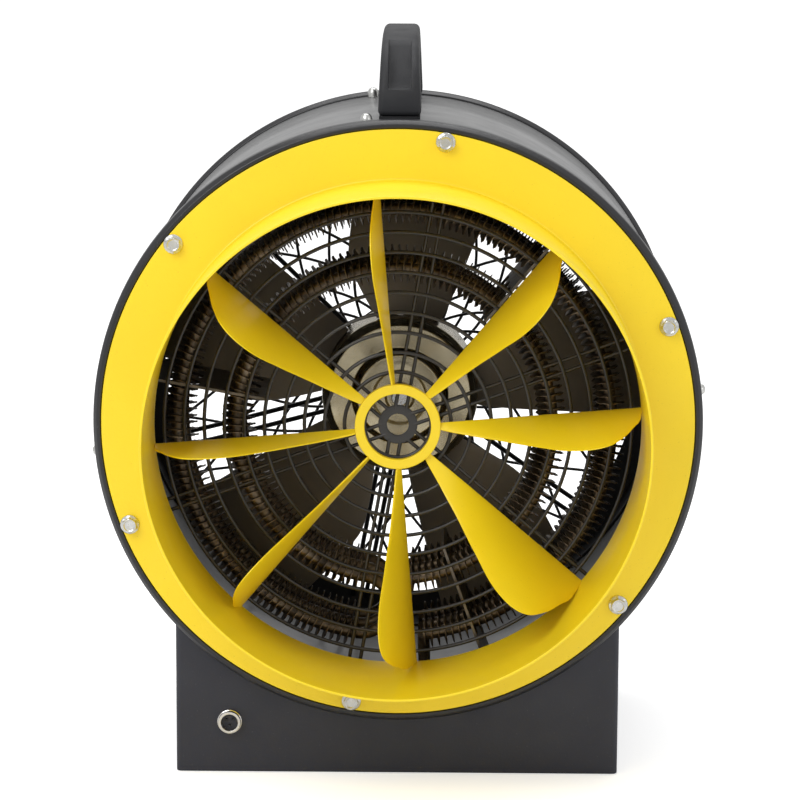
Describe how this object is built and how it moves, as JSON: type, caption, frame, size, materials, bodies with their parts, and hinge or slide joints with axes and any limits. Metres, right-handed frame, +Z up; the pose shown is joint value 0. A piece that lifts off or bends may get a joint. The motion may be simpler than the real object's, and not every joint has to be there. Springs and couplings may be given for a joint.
{
  "type": "forced air heater",
  "caption": "Portable fan heater: a round steel drum on a box base, with a bolted outlet collar, twisted guide vanes, finned heating rings, wire guards and a carrying handle.",
  "frame": {"origin": "middle of the base's underside, on the floor, straight below the drum's axis", "axes": "+Z up, -Y towards the outlet that the air leaves by, +X to the right as seen from the outlet side; the drum's axis is parallel to Y, 277 mm above the floor"},
  "size_m": [0.4664, 0.4283, 0.5678],
  "materials": {
    "charcoal_enamel": "semi-gloss charcoal enamel on steel sheet",
    "bottom_sheet": "satin charcoal enamel on steel sheet",
    "black_enamel": "gloss black enamel",
    "yellow_enamel": "semi-gloss yellow enamel",
    "zinc_fasteners": "bright zinc plating",
    "guard_wire": "satin black enamel on wire",
    "element_sheath": "heat-tinted finned steel tube",
    "bracket_steel": "plain galvanised sheet",
    "cast_aluminium": "turned cast aluminium",
    "blade_enamel": "satin dark brown-grey enamel",
    "shaft_steel": "ground steel",
    "motor_iron": "dark cast iron",
    "mount_enamel": "satin black enamel",
    "handle_plastic": "matt dark grey moulded plastic",
    "nickel_shell": "bright nickel plating",
    "insulator_plastic": "black moulded insulator",
    "thermostat_can": "plain pressed steel can",
    "knob_plastic": "matt black moulded plastic",
    "button_plastic": "gloss red plastic",
    "inlet_plastic": "semi-gloss red plastic",
    "terminal_plastic": "cream moulded insulator"
  },
  "bodies": {
    "heater": {"drum_shell": "charcoal_enamel", "front_end_ring": "black_enamel", "rear_end_ring": "black_enamel", "front_ring_screw_1": "zinc_fasteners", "front_ring_screw_2": "zinc_fasteners", "front_ring_screw_3": "zinc_fasteners", "rear_ring_screw_1": "zinc_fasteners", "rear_ring_screw_2": "zinc_fasteners", "rear_ring_screw_3": "zinc_fasteners", "outlet_collar": "yellow_enamel", "vane_hub_ring": "yellow_enamel", "guide_vane_1": "yellow_enamel", "guide_vane_2": "yellow_enamel", "guide_vane_3": "yellow_enamel", "guide_vane_4": "yellow_enamel", "guide_vane_5": "yellow_enamel", "guide_vane_6": "yellow_enamel", "guide_vane_7": "yellow_enamel", "guide_vane_8": "yellow_enamel", "outlet_bolt_1": "zinc_fasteners", "outlet_bolt_2": "zinc_fasteners", "outlet_bolt_3": "zinc_fasteners", "outlet_bolt_4": "zinc_fasteners", "outlet_bolt_5": "zinc_fasteners", "outlet_bolt_6": "zinc_fasteners", "handle": "handle_plastic", "handle_plate": "black_enamel", "handle_screw_1": "zinc_fasteners", "handle_screw_2": "zinc_fasteners", "front_guard": "guard_wire", "rear_guard": "guard_wire", "heating_element_1": "element_sheath", "heating_element_2": "element_sheath", "heating_element_3": "element_sheath", "element_bracket_1": "bracket_steel", "element_bracket_2": "bracket_steel", "element_bracket_3": "bracket_steel", "motor_body": "motor_iron", "motor_mount": "mount_enamel", "base_shell": "charcoal_enamel", "rear_panel": "charcoal_enamel", "bottom_plate": "bottom_sheet", "sensor_socket": "nickel_shell", "socket_insert": "insulator_plastic", "selector_switch": "insulator_plastic", "thermostat_body": "thermostat_can", "cutout_body": "insulator_plastic", "power_inlet": "inlet_plastic", "terminal_block": "terminal_plastic"},
    "fan": {"fan_hub": "cast_aluminium", "fan_blade_1": "blade_enamel", "fan_blade_2": "blade_enamel", "fan_blade_3": "blade_enamel", "fan_blade_4": "blade_enamel", "fan_blade_5": "blade_enamel", "motor_shaft": "shaft_steel"},
    "selector": {"selector_knob": "knob_plastic"},
    "thermostat": {"thermostat_knob": "knob_plastic"},
    "reset": {"reset_button": "button_plastic"}
  },
  "joints": [
    {"name": "fan_spin", "type": "hinge", "parent": "heater", "child": "fan", "pos_m": [0, 0.005, 0.277], "axis": [0, 1, 0], "continuous": true},
    {"name": "selector_turn", "type": "hinge", "parent": "heater", "child": "selector", "pos_m": [0.118, 0.131, 0.042], "axis": [0, -1, 0], "range_deg": [0, 135]},
    {"name": "thermostat_turn", "type": "hinge", "parent": "heater", "child": "thermostat", "pos_m": [0.062, 0.131, 0.031], "axis": [0, -1, 0], "range_deg": [0, 270]},
    {"name": "reset_press", "type": "slide", "parent": "heater", "child": "reset", "axis": [0, -1, 0], "range_m": [0, 0.003], "stiffness_N_per_m": 300, "springref_m": -0.002}
  ]
}
